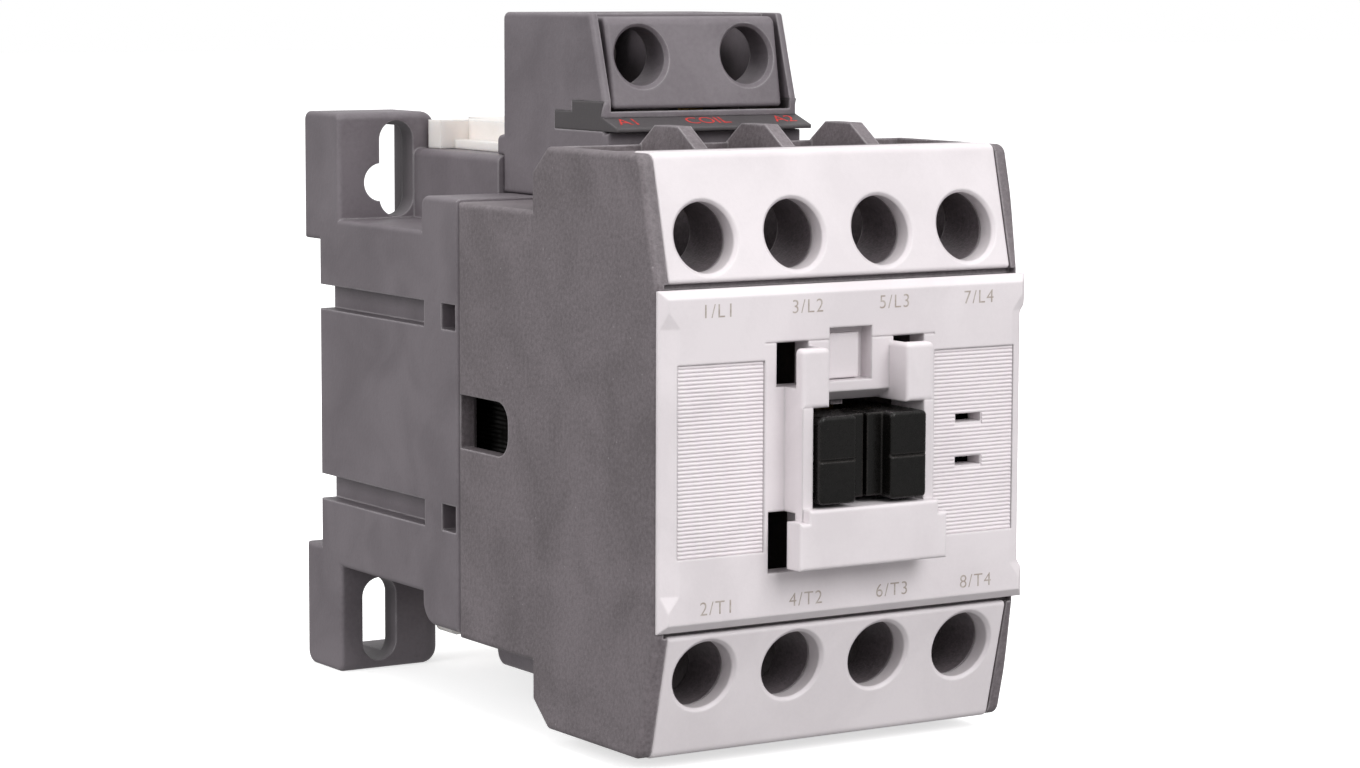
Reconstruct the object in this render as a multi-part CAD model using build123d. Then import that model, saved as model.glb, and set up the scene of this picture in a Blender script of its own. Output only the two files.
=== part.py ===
from build123d import *

import os
from math import pi

# Four-pole contactor for a 35 mm rail.
# +X runs across the width, -Y is the front, +Z is up with the coil terminals on top.
# Y = 0 is the rear mounting plane and Z = 0 the middle of the rail recess.

# ---------------------------------------------------------------- driving dimensions
WIDTH = 45.0
HALF = WIDTH / 2
POLE_PITCH = 10.645
POLES = [POLE_PITCH * k for k in (-1.5, -0.5, 0.5, 1.5)]
EDGE_ROUND = 0.5
CONTACT_TRAVEL = 5.5
CONTACT_GAP = 3.5
LATCH_TRAVEL = 3.2
FACE_GAP = 0.05

# rear mounting
RECESS_TOP = 17.5
RECESS_BOTTOM = -17.7
RAIL_Y = -3.6
EAR_TOP = 32.0
EAR_BOTTOM = -31.8
EAR_FRONT = -8.5
EAR_INNER = 9.3
EAR_PLATE = 2.7
EAR_WALL = 1.6
SLOT_R = 2.15

# base housing
WAIST_TOP = 20.0
WAIST_BOTTOM = -19.6
WAIST_FRONT = -27.9
COLLAR_TOP = 23.8
COLLAR_BOTTOM = -23.0
SEAM = -36.1
FLOOR_Y = -8.6
CHAMBER_X = 19.8
CHAMBER_Z = 17.2
CHANNEL_X = 9.0
CHANNEL_Y = -6.4
SADDLE_X = 12.8
SADDLE_TOP = 27.85
FOOT_X = 12.2
FOOT_REAR = -26.5
FOOT_BOTTOM = -28.7

# upper housing
BODY_Z = 23.5
STEP_Y = -51.7
WING_STEP_Z = 27.5
WING_Y = -54.8
WING_Z = 30.15
WING_FRONT = -72.75
HOUSING_FRONT = -75.9
COVER_EDGE = 17.45
SIDE_WALL = 1.5
PARTITION = 1.4
CONTACT_FLOOR = -55.5
FLOOR_BACK = -54.0
ARC_Z = 16.2
CLAMP_ROOM_Z = 17.6
TUBE_BACK = -66.3
SCREW_Z = 21.85
SCREW_HOLE_R = 3.5
GROOVE_X = 21.5
GROOVE_Y = -74.8

# front cover and its guard
PLATE_Z = 16.95
PLATE_BACK = -76.0
SPIGOT_BACK = -74.6
PLATE_FACE = -77.06
PLATE_CHAMFER = 0.85
SPIGOT_X = 20.6
SPIGOT_Z = 15.9
FACET_FOOT_X = 22.3
FACET_CREST_X = 20.35
FACET_Z = 13.2
FACET_APEX_Z = 14.9
GRIP_X = 21.6
GRIP_Z = 12.9
GRIP_END_Z = 14.3
GRIP_REAR = -73.2
GUARD_ROOT = PLATE_BACK - 0.3
GUARD_FACE = -80.3
GUARD_X = 8.03
GUARD_WALL = 1.23
POST_INNER = 4.7
POST_BOTTOM = 4.9
POST_TOP = 10.85
BAR_FACE = -81.5
BAR_TOP_X = 7.9
BAR_X = 9.0
BAR_TOP = -5.1
BAR_MIDDLE = -6.35
BAR_BOTTOM = -11.1
WINDOW_TOP = 6.1
HOOK_FRONT = -79.05
UPPER_HOOK_X = (5.2, 9.04)
UPPER_HOOK_Z = (6.87, 11.3)
LOWER_HOOK_X = (6.0, 9.95)
LOWER_HOOK_Z = (-11.8, -5.6)
MARKER_WINDOW_X = (-2.65, 2.55)
MARKER_WINDOW_Z = (7.1, 12.5)
MARKER_DEPTH = 1.9
SIDE_SLOT_X = (13.35, 16.55)
SIDE_SLOT_HALF = 0.45
PANEL_Z = 9.6
PANEL_INNER = 10.4
PANEL_OUTER = 20.6
PANEL_DEPTH = 0.3

# coil tower
TOWER_X = 12.2
TOWER_WALL = 0.9
TOWER_TOP = 43.5
TOWER_REAR = WAIST_FRONT - 0.05
COIL_SCREW_X = 6.65
COIL_SCREW_Z = 39.0
COIL_HOLE_R = 3.1

# magnet
STACK_Z = 6.5
CORE_X = 18.0
OUTER_LEG = 5.0
CENTRE_LEG = 4.5
POLE_FACE = -25.0
ARMATURE_FACE = POLE_FACE - CONTACT_TRAVEL - FACE_GAP
ARMATURE_LEG = 8.05
YOKE = 5.0
YOKE_INNER = ARMATURE_FACE - ARMATURE_LEG
YOKE_FRONT = YOKE_INNER - YOKE
RING_WIRE = 0.7
BOBBIN_BACK = -15.4
BOBBIN_FRONT = -32.6

# contacts
STRIP_T = 1.4
STRIP_FRONT = CONTACT_FLOOR - STRIP_T
TIP_T = 1.0
TIP_FACE = STRIP_FRONT - TIP_T
BRIDGE_BACK = TIP_FACE - CONTACT_GAP - TIP_T - FACE_GAP
BRIDGE_T = 1.3
BRIDGE_FRONT = BRIDGE_BACK - BRIDGE_T
TIP_Z = 9.8
SPRING_FRONT = -70.4
TAB_FACE = -81.2
TAB_STEP = -79.6
STEP_ROOT = -75.0
STEP_NOTCH = STEP_ROOT + CONTACT_TRAVEL + 0.1

# terminals
SCREW_R = 2.0
SCREW_HEAD_R = 3.2
CLAMP_T = 1.4
CLAMP_BACK = STRIP_FRONT - 0.2
CLAMP_FRONT = CLAMP_BACK - CLAMP_T


# ---------------------------------------------------------------- shape helpers
def block(x, y, z):
    """Box between pairs of limits along X, Y and Z."""
    (x0, x1), (y0, y1), (z0, z1) = sorted(x), sorted(y), sorted(z)
    centre = Pos((x0 + x1) / 2, (y0 + y1) / 2, (z0 + z1) / 2)
    return centre * Box(x1 - x0, y1 - y0, z1 - z0)


def mirrored_x(x, y, z):
    """The same box on the right and on the left."""
    return [block(x, y, z), block((-x[0], -x[1]), y, z)]


def rod_y(x, z, radius, y0, y1):
    """Cylinder along Y."""
    return Pos(x, (y0 + y1) / 2, z) * Rot(90, 0, 0) * Cylinder(radius, abs(y1 - y0))


def outline(points):
    """Face from (u, v) or (u, v, corner radius) points."""
    face = make_face(Polyline(*[(p[0], p[1]) for p in points], close=True))
    for p in points:
        if len(p) == 3:
            corner = face.vertices().sort_by_distance((p[0], p[1], 0))[0]
            face = fillet(corner, p[2])
    return face


def along_x(points, x0, x1):
    """Solid with a (Y, Z) outline between x0 and x1."""
    return Pos(x0, 0, 0) * extrude(Plane.YZ * outline(points), amount=x1 - x0)


def rounded_ends(part, radius):
    """Rounds the outlines of the left and right end faces."""
    groups = part.edges().group_by(Axis.X)
    return fillet(groups[0] + groups[-1], radius)


def slot_y(x, z0, z1, radius, y0, y1):
    """Round-ended slot along Z, cut along Y."""
    straight = block((x - radius, x + radius), (y0, y1), (z0 + radius, z1 - radius))
    ends = rod_y(x, z0 + radius, radius, y0, y1) + rod_y(x, z1 - radius, radius, y0, y1)
    return straight + ends


def coil_spring(radius, wire, length, turns):
    """Round-wire helical spring standing along +Z from the origin."""
    rise = length - 2 * wire
    path = Helix(pitch=rise / turns, height=rise, radius=radius)
    section = Plane(path @ 0, z_dir=path % 0) * Circle(wire)
    return Pos(0, 0, wire) * sweep(section, path=path)


def save(name, *solids):
    """Writes one sub-part, which may be a group of separate solids."""
    whole = solids[0] if len(solids) == 1 else Compound(children=list(solids))
    whole.label = name
    export_step(whole, f"parts/{name}.step")


def chamber_limits():
    """X limits of the four pole chambers between the partitions and side walls."""
    walls = [-HALF + SIDE_WALL, -POLE_PITCH, 0.0, POLE_PITCH, HALF - SIDE_WALL]
    limits = []
    for k in range(4):
        left = walls[k] + (PARTITION / 2 if k > 0 else 0)
        right = walls[k + 1] - (PARTITION / 2 if k < 3 else 0)
        limits.append((left, right))
    return limits


# ---------------------------------------------------------------- housings
def ear_openings():
    """Hollow backs and screw slots of the four mounting ears."""
    cuts = []
    for side in (-1, 1):
        pocket_x = (side * (EAR_INNER + EAR_WALL), side * (HALF - EAR_WALL))
        pocket_y = (1, EAR_FRONT + EAR_PLATE)
        cuts.append(block(pocket_x, pocket_y, (RECESS_TOP + 2.1, EAR_TOP - EAR_WALL)))
        cuts.append(block(pocket_x, pocket_y, (RECESS_BOTTOM - 1.6, EAR_BOTTOM + EAR_WALL)))
        cuts.append(slot_y(side * 15.1, 20.2, 31.05, SLOT_R, 0, EAR_FRONT - 1))
        cuts.append(rod_y(side * 17.05, 24.1, SLOT_R, 0, EAR_FRONT - 1))
        cuts.append(slot_y(side * 17.6, -30.8, -21.2, SLOT_R, 0, EAR_FRONT - 1))
    return cuts


def base_housing():
    """Rear moulding: ears, rail recess, magnet chamber and collar."""
    shell = along_x(
        [
            (RAIL_Y, RECESS_TOP),
            (0, RECESS_TOP),
            (0, EAR_TOP, 1.0),
            (EAR_FRONT, EAR_TOP, 0.8),
            (EAR_FRONT, WAIST_TOP),
            (WAIST_FRONT, WAIST_TOP),
            (WAIST_FRONT, COLLAR_TOP, 1.2),
            (SEAM, COLLAR_TOP),
            (SEAM, COLLAR_BOTTOM),
            (WAIST_FRONT, COLLAR_BOTTOM, 2.6),
            (WAIST_FRONT, WAIST_BOTTOM),
            (EAR_FRONT, WAIST_BOTTOM),
            (EAR_FRONT, EAR_BOTTOM, 0.8),
            (0, EAR_BOTTOM, 1.5),
            (0, RECESS_BOTTOM),
            (RAIL_Y, RECESS_BOTTOM),
        ],
        -HALF,
        HALF,
    )
    shell = rounded_ends(shell, EDGE_ROUND)
    ear_gap = (-EAR_INNER, EAR_INNER)
    shell -= block(ear_gap, (1, EAR_FRONT), (WAIST_TOP, EAR_TOP + 1))
    shell -= block(ear_gap, (1, EAR_FRONT), (WAIST_BOTTOM, EAR_BOTTOM - 1))
    inner_corners = (
        shell.edges()
        .filter_by(Axis.Y)
        .filter_by(lambda e: abs(abs(e.center().X) - EAR_INNER) < 0.01 and abs(e.center().Z) > 30)
    )
    shell = fillet(inner_corners, 2.4)
    saddle = block((-SADDLE_X, SADDLE_X), (EAR_FRONT, WAIST_FRONT), (WAIST_TOP - 1, SADDLE_TOP))
    saddle = fillet(saddle.edges().filter_by(Axis.Y).group_by(Axis.Z)[-1], 0.8)
    foot = along_x(
        [
            (FOOT_REAR, COLLAR_BOTTOM + 1),
            (FOOT_REAR, FOOT_BOTTOM, 1.6),
            (SEAM, FOOT_BOTTOM),
            (SEAM, COLLAR_BOTTOM + 1),
        ],
        -FOOT_X,
        FOOT_X,
    )
    shell += saddle + foot
    for side in (-1, 1):
        hook_x = (side * EAR_INNER, side * (EAR_INNER + 4))
        shell += block(hook_x, (0, -2.4), (RECESS_TOP - 1.6, RECESS_TOP + 0.1))
    cuts = ear_openings()
    cuts.append(block((-CHAMBER_X, CHAMBER_X), (FLOOR_Y, SEAM - 1), (-CHAMBER_Z, CHAMBER_Z)))
    cuts.append(block((-20.2, 20.2), (-30.0, SEAM - 1), (-20.8, 20.8)))
    cuts.append(block((-11.0, 11.0), (EAR_FRONT - 1.5, -26.5), (CHAMBER_Z - 1, SADDLE_TOP - 1.5)))
    cuts.append(block((-11.0, 11.0), (-29.3, SEAM - 1), (CHAMBER_Z - 1, COLLAR_TOP + 1)))
    cuts.append(block((-CHANNEL_X, CHANNEL_X), (1, CHANNEL_Y), (-CHAMBER_Z - 8, WAIST_TOP + 1)))
    for x in (-HALF, HALF):
        inset = (x - 2.0, x + 2.0)
        for z in ((9.65, 12.45), (-12.2, -9.3)):
            cuts.append(block(inset, (1, -28.65), z))
            cuts.append(block(inset, (-32.5, -35.6), z))
    for cut in cuts:
        shell -= cut
    return shell


def side_window(side):
    """Round-fronted window in a side wall, through which an interlock reaches the carrier."""
    shape = outline([(SEAM - 0.5, -2.8), (SEAM - 0.5, 3.0), (-46.9, 3.0, 2.2), (-46.9, -2.8, 2.2)])
    solid = extrude(Plane.YZ * shape, amount=4)
    return Pos(side * (HALF - 1) - 2, 0, 0) * solid


def upper_housing():
    """Front moulding: side walls, pole partitions, contact floor and screw tubes."""
    body = along_x(
        [
            (SEAM - FACE_GAP, BODY_Z),
            (STEP_Y, BODY_Z),
            (STEP_Y, WING_STEP_Z, 0.5),
            (WING_Y, WING_Z, 0.6),
            (WING_FRONT, WING_Z, 1.2),
            (HOUSING_FRONT, COVER_EDGE),
            (HOUSING_FRONT, -COVER_EDGE),
            (WING_FRONT, -WING_Z, 1.2),
            (WING_Y, -WING_Z, 0.6),
            (STEP_Y, -WING_STEP_Z, 0.5),
            (STEP_Y, -BODY_Z),
            (SEAM - FACE_GAP, -BODY_Z),
        ],
        -HALF,
        HALF,
    )
    body = rounded_ends(body, 0.6)
    foot = block((-FOOT_X, FOOT_X), (SEAM - FACE_GAP, STEP_Y), (-BODY_Z + 1, FOOT_BOTTOM))
    body += foot
    inside = HALF - SIDE_WALL
    seat_x = SPIGOT_X + FACE_GAP
    seat_z = SPIGOT_Z + FACE_GAP
    cuts = [
        block((-seat_x, seat_x), (SPIGOT_BACK + FACE_GAP, HOUSING_FRONT - 1), (-seat_z, seat_z)),
        block((-20.7, 20.7), (SEAM + 1, -51.0), (-21.5, 21.5)),
        block((-20.7, 20.7), (-50, FLOOR_BACK), (-15.0, 15.0)),
        block((-10.7, 10.7), (SEAM + 1, -50.2), (-21, FOOT_BOTTOM + 1.5)),
        block((-inside, inside), (STEP_Y + 1, FLOOR_BACK), (28.0, WING_Z + 1)),
        block((-inside, inside), (STEP_Y + 1, FLOOR_BACK), (-28.0, -WING_Z - 1)),
        side_window(-1),
        side_window(1),
    ]
    for x, (left, right) in zip(POLES, chamber_limits()):
        cuts.append(block((left, right), (CONTACT_FLOOR, HOUSING_FRONT - 1), (-ARC_Z, ARC_Z)))
        for up in (-1, 1):
            room_z = (up * CLAMP_ROOM_Z, up * (WING_Z + 2))
            notch_z = (up * (ARC_Z - 1), up * (CLAMP_ROOM_Z + 1))
            notch_x = (x - 3.2, x + 3.2)
            cuts.append(block((left, right), (CONTACT_FLOOR, TUBE_BACK), room_z))
            cuts.append(block(notch_x, (CONTACT_FLOOR, STRIP_FRONT - 0.1), notch_z))
    for x in POLES:
        cuts.append(block((x - 4.25, x + 4.25), (FLOOR_BACK + 1, CONTACT_FLOOR - 1), (-3.5, 3.5)))
        for z in (-SCREW_Z, SCREW_Z):
            cuts.append(rod_y(x, z, SCREW_HOLE_R, TUBE_BACK + 1, HOUSING_FRONT - 1))
            cuts.append(rod_y(x, z, SCREW_R + 0.4, CONTACT_FLOOR - 0.5, STEP_Y - 0.3))
    cuts.append(block((-1.2, 1.2), (STEP_NOTCH, HOUSING_FRONT - 1), (-4.8, 4.4)))
    taper = outline(
        [
            (HALF, GRIP_REAR),
            (GRIP_X, HOUSING_FRONT),
            (GRIP_X, HOUSING_FRONT - 1),
            (HALF + 1, HOUSING_FRONT - 1),
            (HALF + 1, GRIP_REAR),
        ]
    )
    cuts.append(extrude(taper, amount=WING_Z, both=True))
    for up in (-1, 1):
        cuts.append(along_x(cover_outline(up, FACE_GAP), -inside, inside))
        groove_z = (up * (PLATE_Z - 0.05), up * (COVER_EDGE + 0.05))
        cuts.append(block((-GROOVE_X, GROOVE_X), (GROOVE_Y, HOUSING_FRONT - 1), groove_z))
    for cut in cuts:
        body -= cut
    for x in (-POLE_PITCH, 0, POLE_PITCH):
        for up, height in ((1, 32.25), (-1, 31.4)):
            fin = [(-54.4, up * 28), (-54.4, up * 29.7), (-58.0, up * height, 0.3)]
            fin += [(-62.4, up * height, 0.3), (-66.25, up * 29.7), (-66.25, up * 28)]
            body += along_x(fin, x - 0.8, x + 0.8)
    return body


# ---------------------------------------------------------------- covers
def cover_outline(up, spare=0.0):
    """(Y, Z) outline of a terminal cover; spare widens the seat that holds it."""
    top = up * (WING_Z + 0.1 + spare * 40)
    inner = up * (COVER_EDGE - spare)
    return [
        (-69.3 + spare, top),
        (WING_FRONT + 0.1 - spare * 20, top),
        (HOUSING_FRONT + 0.1 - spare * 20, inner),
        (-73.5 + spare, inner),
        (-70.9 + spare, up * (28.6 - spare)),
        (-69.3 + spare, up * (28.6 - spare)),
    ]


def terminal_cover(up):
    """Sloping pale cover over one row of terminals, with four chamfered screw holes."""
    points = cover_outline(up)
    points[1] = (*points[1], 0.9)
    points[2] = (*points[2], 0.4)
    reach = HALF - SIDE_WALL - FACE_GAP
    cover = rounded_ends(along_x(points, -reach, reach), 0.25)
    for x in POLES:
        cover -= rod_y(x, up * SCREW_Z, SCREW_HOLE_R, -60, -80)
    rims = cover.edges().filter_by(lambda e: 6.5 < e.bounding_box().size.X < 7.5 and e.center().Y < -73.2)
    return chamfer(rims, 0.35)


def side_facet():
    """Material taken off the plate's right edge: a shallow facet with triangular ends."""
    chamfer_edge = HALF - PLATE_CHAMFER
    foot = Vector(FACET_FOOT_X, PLATE_FACE + FACET_FOOT_X - chamfer_edge, FACET_Z)
    crest = Vector(FACET_CREST_X, PLATE_FACE, FACET_Z)
    apex = Vector(chamfer_edge, PLATE_FACE, FACET_APEX_Z)
    beyond = crest + (foot - crest) * 1.7
    clear_y = PLATE_FACE - 1
    section = Polyline(
        (crest.X, crest.Y),
        (beyond.X, beyond.Y),
        (beyond.X, clear_y),
        (crest.X, clear_y),
        close=True,
    )
    wedge = extrude(make_face(section), amount=FACET_APEX_Z + 1, dir=(0, 0, 1))
    end = Plane(origin=foot, z_dir=(apex - foot).cross(crest - foot))
    upper = split(wedge, bisect_by=end, keep=Keep.TOP)
    return upper + mirror(upper, about=Plane.XY)


def front_plate():
    """Chamfered plate with a shallow facet along both sides and a finger grip on the right."""
    plate = block((-HALF, HALF), (PLATE_BACK, PLATE_FACE), (-PLATE_Z, PLATE_Z))
    plate = chamfer(plate.edges().group_by(Axis.Y)[0], PLATE_CHAMFER)
    facet = side_facet()
    plate = plate - facet - mirror(facet, about=Plane.YZ)
    grip = outline(
        [
            (GRIP_X, -GRIP_Z),
            (GRIP_X, GRIP_Z),
            (HALF, GRIP_END_Z),
            (HALF + 1, GRIP_END_Z),
            (HALF + 1, -GRIP_END_Z),
            (HALF, -GRIP_END_Z),
        ]
    )
    return plate - extrude(Plane.XZ * grip, amount=-BAR_FACE)


def guard_blocks():
    """Raised parts round the carrier tabs: side walls, upper posts and lower bar."""
    parts = []
    for side in (-1, 1):
        wall_x = (side * (GUARD_X - GUARD_WALL), side * GUARD_X)
        parts.append(block(wall_x, (GUARD_ROOT, GUARD_FACE), (BAR_MIDDLE, POST_BOTTOM + 0.1)))
        post_x = (side * POST_INNER, side * GUARD_X)
        post = block(post_x, (GUARD_ROOT, GUARD_FACE), (POST_BOTTOM, POST_TOP))
        post = fillet(post.edges().filter_by(Axis.Y).group_by(Axis.Z)[-1], 0.5)
        parts.append(fillet(post.edges().group_by(Axis.Y)[0], 0.45))
    upper = block((-BAR_TOP_X, BAR_TOP_X), (GUARD_ROOT, BAR_FACE), (BAR_MIDDLE - 1.5, BAR_TOP))
    lower = block((-BAR_X, BAR_X), (GUARD_ROOT, BAR_FACE), (BAR_BOTTOM, BAR_MIDDLE))
    parts.append(fillet(upper.edges().group_by(Axis.Y)[0], 0.3))
    parts.append(fillet(lower.edges().group_by(Axis.Y)[0], 0.35))
    return parts


def window_lip():
    """Lip that slopes inwards along the top of the carrier window."""
    points = [
        (PLATE_FACE, WINDOW_TOP - 0.05),
        (PLATE_FACE + 1.7, POST_BOTTOM + 0.1),
        (SPIGOT_BACK, POST_BOTTOM + 0.1),
        (SPIGOT_BACK, WINDOW_TOP + 0.1),
        (PLATE_FACE, WINDOW_TOP + 0.1),
    ]
    return along_x(points, -POST_INNER, POST_INNER)


def front_cover():
    """Pale centre cover with guard, ribbed panels' recesses, hook slots and marker window."""
    cover = front_plate()
    cover += block((-SPIGOT_X, SPIGOT_X), (SPIGOT_BACK, PLATE_BACK), (-SPIGOT_Z, SPIGOT_Z))
    for raised in guard_blocks():
        cover += raised
    opening_x = GUARD_X - GUARD_WALL
    behind = SPIGOT_BACK + 1
    clear = BAR_FACE - 1
    cuts = [
        block((-opening_x, opening_x), (behind, clear), (BAR_TOP, POST_BOTTOM)),
        block((-POST_INNER, POST_INNER), (behind, clear), (POST_BOTTOM - 0.1, WINDOW_TOP)),
        block(MARKER_WINDOW_X, (PLATE_FACE + MARKER_DEPTH, clear), MARKER_WINDOW_Z),
    ]
    for side in (-1, 1):
        panel_x = (side * PANEL_INNER, side * PANEL_OUTER)
        cuts.append(block(panel_x, (PLATE_FACE + PANEL_DEPTH, clear), (-PANEL_Z, PANEL_Z)))
        for hook_x, hook_z in ((UPPER_HOOK_X, UPPER_HOOK_Z), (LOWER_HOOK_X, LOWER_HOOK_Z)):
            slot_x = (side * hook_x[0], side * hook_x[1])
            cuts.append(block(slot_x, (behind, HOOK_FRONT), hook_z))
    for z in (2.35, -2.1):
        side_slot_z = (z - SIDE_SLOT_HALF, z + SIDE_SLOT_HALF)
        cuts.append(block(SIDE_SLOT_X, (behind, clear), side_slot_z))
    scribe_z = (UPPER_HOOK_Z[1] - 0.02, UPPER_HOOK_Z[1] + 0.1)
    cuts.append(block((-PANEL_INNER, PANEL_INNER), (PLATE_FACE + 0.12, PLATE_FACE - 0.4), scribe_z))
    for cut in cuts:
        cover -= cut
    return cover + window_lip()


def marker_plate():
    """Blank marker plate that sits in the window above the guard."""
    depth = (PLATE_FACE + MARKER_DEPTH - 0.05, PLATE_FACE + 1.15)
    plate = block((-2.55, 1.75), depth, (7.2, 11.8))
    return fillet(plate.edges().group_by(Axis.Y)[0], 0.15)


# ---------------------------------------------------------------- coil tower
def coil_terminal_housing():
    """Tower on top of the base that carries the coil terminals."""
    tower = along_x(
        [
            (TOWER_REAR, COLLAR_TOP + FACE_GAP),
            (TOWER_REAR, SADDLE_TOP + FACE_GAP),
            (TOWER_REAR + 1.4, SADDLE_TOP + FACE_GAP),
            (TOWER_REAR + 1.4, 30.0, 0.7),
            (TOWER_REAR, 30.2),
            (TOWER_REAR, TOWER_TOP, 0.8),
            (-46.3, TOWER_TOP, 0.3),
            (-49.1, 34.4),
            (-49.1, 31.1),
            (-50.0, 31.1),
            (-50.0, BODY_Z + FACE_GAP),
            (SEAM - 0.1, BODY_Z + FACE_GAP),
            (SEAM - 0.1, COLLAR_TOP + FACE_GAP),
        ],
        -TOWER_X,
        TOWER_X,
    )
    tower = rounded_ends(tower, 0.4)
    room = TOWER_X - TOWER_WALL
    tower -= block((-room, room), (-29.3, -48.8), (23, 42.3))
    tower -= block((-room, room), (-43.5, -52), (33.3, 45))
    for side in (-1, 1):
        tower -= block((side * 2.4, side * 10.8), (-36.0, -42.9), (41, 45))
    tower -= along_x(label_outline(0.02), -TOWER_X - 1, TOWER_X + 1)
    tower += block((-0.6, 0.6), (-29.2, -43.5), (27, 42.4))
    return tower


def label_outline(spare=0.0):
    """(Y, Z) outline of the label strip that wraps round the tower."""
    return [
        (-39.1 + spare, 31.25 - spare),
        (-39.1 + spare, 33.2 + spare),
        (-42.7 + spare, 33.2 + spare),
        (-42.7 + spare, 34.35 + spare),
        (-49.0 - spare, 34.35 + spare),
        (-48.6 - spare, 32.8 + spare),
        (-51.9 - spare, 31.65 + spare),
        (-51.9 - spare, 31.25 - spare),
    ]


def coil_label_strip():
    """U-shaped strip with a sloping ledge in front of the coil terminals."""
    strip = along_x(label_outline(), -TOWER_X, TOWER_X)
    room = TOWER_X - TOWER_WALL + 0.02
    strip -= block((-room, room), (-30, -48.85), (30, 36))
    strip -= block((-room, room), (-48, -49.5), (32.9, 36))
    return strip


def coil_terminal_cover():
    """Front of the tower: sloping face with two screw holes."""
    cover = along_x(
        [(-43.6, 33.5), (-43.6, 43.15), (-46.9, 43.15, 1.0), (-48.6, 33.5, 0.4)],
        -10.7,
        10.7,
    )
    cover = rounded_ends(cover, 0.45)
    for side in (-1, 1):
        cover -= rod_y(side * COIL_SCREW_X, COIL_SCREW_Z, COIL_HOLE_R, -40, -52)
    rims = cover.edges().filter_by(lambda e: 5.5 < e.bounding_box().size.X < 6.8 and e.center().Y < -46)
    return chamfer(rims, 0.4)


# ---------------------------------------------------------------- magnet
def e_core(back, inner, face, z):
    """E-shaped laminated core: yoke from back to inner, legs from inner to face."""
    core = block((-CORE_X, CORE_X), (back, inner), (-z, z))
    core += block((-CENTRE_LEG, CENTRE_LEG), (inner, face), (-z, z))
    for leg in mirrored_x((CORE_X - OUTER_LEG, CORE_X), (inner, face), (-z, z)):
        core += leg
    return core


def ring_frame(side, spare=0.0):
    """Rectangular shading ring in the pole face of one outer leg."""
    near = side * (CORE_X - OUTER_LEG + 0.7 - spare)
    far = side * (CORE_X - 1.5 + spare)
    depth = (POLE_FACE + 1.2 + spare, POLE_FACE + 0.1 - spare * 10)
    ring = block((near, far), depth, (-5.6 - spare, 5.6 + spare))
    wall = side * (RING_WIRE + 2 * spare)
    inside_z = 5.6 - RING_WIRE - spare
    return ring - block((near + wall, far - wall), (-20, -30), (-inside_z, inside_z))


def fixed_core():
    core = e_core(-10.2, BOBBIN_BACK + 0.2, POLE_FACE, STACK_Z)
    for side in (-1, 1):
        core -= ring_frame(side, 0.02)
    return core


def armature():
    core = e_core(YOKE_FRONT, YOKE_INNER, ARMATURE_FACE, STACK_Z)
    core -= Pos(0, YOKE_INNER - YOKE / 2, 0) * Cylinder(1.53, 20)
    return core


def coil_bobbin():
    """Bobbin round the centre legs, with lugs for the two terminal strips."""
    bobbin = block((-6.2, 6.2), (BOBBIN_BACK, BOBBIN_FRONT), (-8.2, 8.2))
    for y in (BOBBIN_BACK, BOBBIN_FRONT + 1.2):
        bobbin += block((-12.7, 12.7), (y, y - 1.2), (-16.0, 16.0))
    for lug in mirrored_x((3.4, 9.9), (BOBBIN_FRONT + 0.1, -33.35), (12.5, 16.0)):
        bobbin += lug
    return bobbin - block((-4.9, 4.9), (-10, -40), (-6.9, 6.9))


def coil_winding():
    wound = block((-12.3, 12.3), (BOBBIN_BACK - 1.25, BOBBIN_FRONT + 1.25), (-15.4, 15.4))
    wound = fillet(wound.edges().filter_by(Axis.Y), 3.0)
    return wound - block((-6.25, 6.25), (-10, -40), (-8.25, 8.25))


def coil_terminal(side):
    """Brass strip from the bobbin up to one coil screw."""
    centre = side * COIL_SCREW_X
    strip = block((centre - 3, centre + 3), (-33.4, -34.4), (12.5, 41.6))
    return strip - rod_y(centre, COIL_SCREW_Z, 1.8, -30, -38)


# ---------------------------------------------------------------- contacts
def contact_strip(x, up):
    """Fixed contact strip from the arc chamber out to its terminal screw."""
    strip = block((x - 3.0, x + 3.0), (CONTACT_FLOOR - 0.02, STRIP_FRONT), (up * 8.2, up * 27.0))
    return strip - rod_y(x, up * SCREW_Z, SCREW_R + 0.06, -50, -60)


def fixed_tip(x, up):
    centre_z = up * TIP_Z
    return block((x - 2, x + 2), (STRIP_FRONT, TIP_FACE), (centre_z - 1.5, centre_z + 1.5))


def moving_bridge(x):
    """Contact bridge with its two silver tips."""
    bar = block((x - 2.5, x + 2.5), (BRIDGE_BACK, BRIDGE_FRONT), (-12.0, 12.0))
    bar = fillet(bar.edges().filter_by(Axis.Y), 0.8)
    tips = []
    for up in (-1, 1):
        centre_z = up * TIP_Z
        limits = (BRIDGE_BACK, BRIDGE_BACK + TIP_T)
        tips.append(block((x - 2, x + 2), limits, (centre_z - 1.5, centre_z + 1.5)))
    return [bar] + tips


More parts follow.
